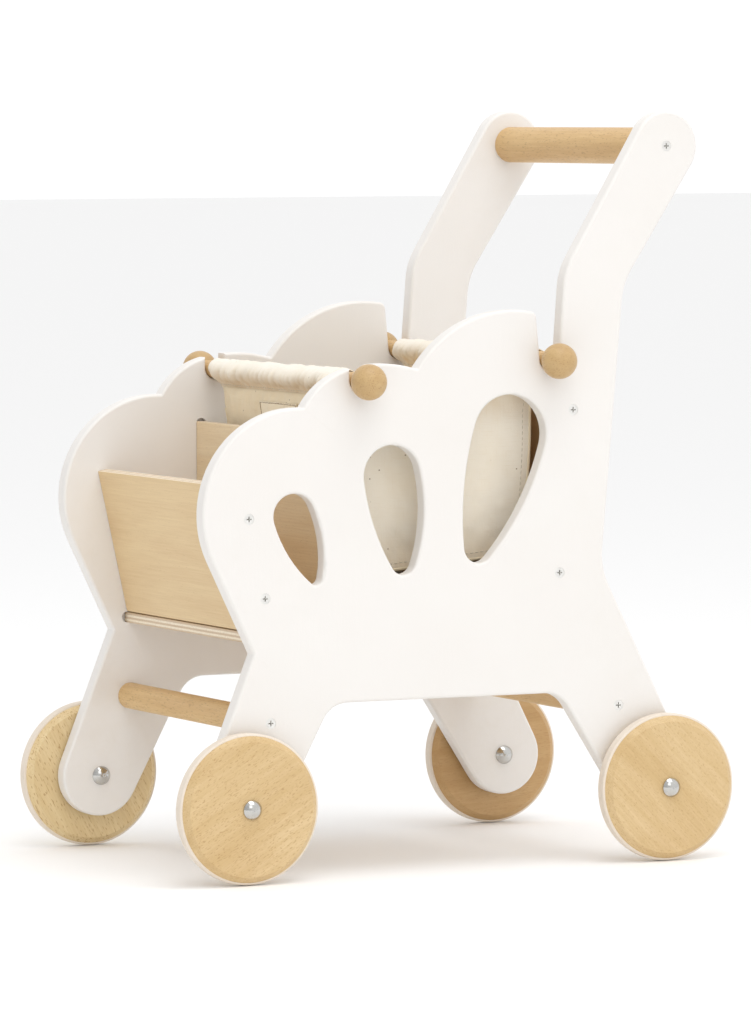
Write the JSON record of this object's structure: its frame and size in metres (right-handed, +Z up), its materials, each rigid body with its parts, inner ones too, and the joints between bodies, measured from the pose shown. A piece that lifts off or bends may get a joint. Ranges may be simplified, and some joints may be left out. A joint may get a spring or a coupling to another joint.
{
  "type": "doll stroller",
  "caption": "Wooden push-along doll stroller: scalloped white side panels with teardrop windows, dowel handle, rubber-tyred wheels and a lift-out canvas carrier.",
  "frame": {"origin": "on the ground, midway between the wheels in both directions", "axes": "+Z up, the front faces -Y and the handle is at +Y, +X is the pusher's left; wheel axles lie along X"},
  "size_m": [0.296, 0.412, 0.507],
  "materials": {
    "white_paint": "satin warm white paint on board, rounded edges",
    "plywood": "clear-lacquered birch plywood with layered edges",
    "beech": "clear-lacquered beech dowel",
    "wheel_beech": "clear-lacquered beech disc with bevelled rim",
    "tyre_rubber": "matt cream rubber band",
    "axle_steel": "bright drawn steel",
    "cap_chrome": "polished domed push-on cap",
    "screw_steel": "zinc-plated countersunk cross-recess screw",
    "canvas": "unbleached calico, plain weave with flecks",
    "label_cotton": "blank woven cotton label"
  },
  "bodies": {
    "frame": {"side_panel_left": "white_paint", "side_panel_right": "white_paint", "handle_bar": "beech", "front_stretcher": "beech", "rear_stretcher": "beech", "front_board": "plywood", "back_board": "plywood", "floor_board": "plywood", "divider_board": "plywood", "handle_screws": "screw_steel", "stretcher_screws": "screw_steel", "front_board_screws": "screw_steel", "back_board_screws": "screw_steel", "axle_pin_front_left": "axle_steel", "axle_pin_front_right": "axle_steel", "axle_pin_rear_left": "axle_steel", "axle_pin_rear_right": "axle_steel", "axle_caps_outer": "cap_chrome", "axle_caps_inner": "cap_chrome", "axle_washers": "axle_steel"},
    "front_left_wheel": {"wheel_front_left": "wheel_beech", "tyre_front_left": "tyre_rubber"},
    "front_right_wheel": {"wheel_front_right": "wheel_beech", "tyre_front_right": "tyre_rubber"},
    "rear_left_wheel": {"wheel_rear_left": "wheel_beech", "tyre_rear_left": "tyre_rubber"},
    "rear_right_wheel": {"wheel_rear_right": "wheel_beech", "tyre_rear_right": "tyre_rubber"},
    "carrier": {"bag_dowel_front": "beech", "bag_dowel_rear": "beech", "ball_front_left": "beech", "ball_front_right": "beech", "ball_rear_left": "beech", "ball_rear_right": "beech", "bag_sleeve_front": "canvas", "bag_sleeve_rear": "canvas", "bag_front": "canvas", "bag_rear": "canvas", "bag_gusset_left": "canvas", "bag_gusset_right": "canvas", "bag_base": "canvas", "bag_label": "label_cotton"}
  },
  "joints": [
    {"name": "front_left_spin", "type": "hinge", "parent": "frame", "child": "front_left_wheel", "pos_m": [0.132, -0.156, 0.05], "axis": [1, 0, 0], "continuous": true},
    {"name": "front_right_spin", "type": "hinge", "parent": "frame", "child": "front_right_wheel", "pos_m": [-0.132, -0.156, 0.05], "axis": [1, 0, 0], "continuous": true},
    {"name": "rear_left_spin", "type": "hinge", "parent": "frame", "child": "rear_left_wheel", "pos_m": [0.132, 0.156, 0.05], "axis": [1, 0, 0], "continuous": true},
    {"name": "rear_right_spin", "type": "hinge", "parent": "frame", "child": "rear_right_wheel", "pos_m": [-0.132, 0.156, 0.05], "axis": [1, 0, 0], "continuous": true},
    {"name": "carrier_lift", "type": "slide", "parent": "frame", "child": "carrier", "axis": [0, 0, 1], "range_m": [0, 0.33]}
  ]
}
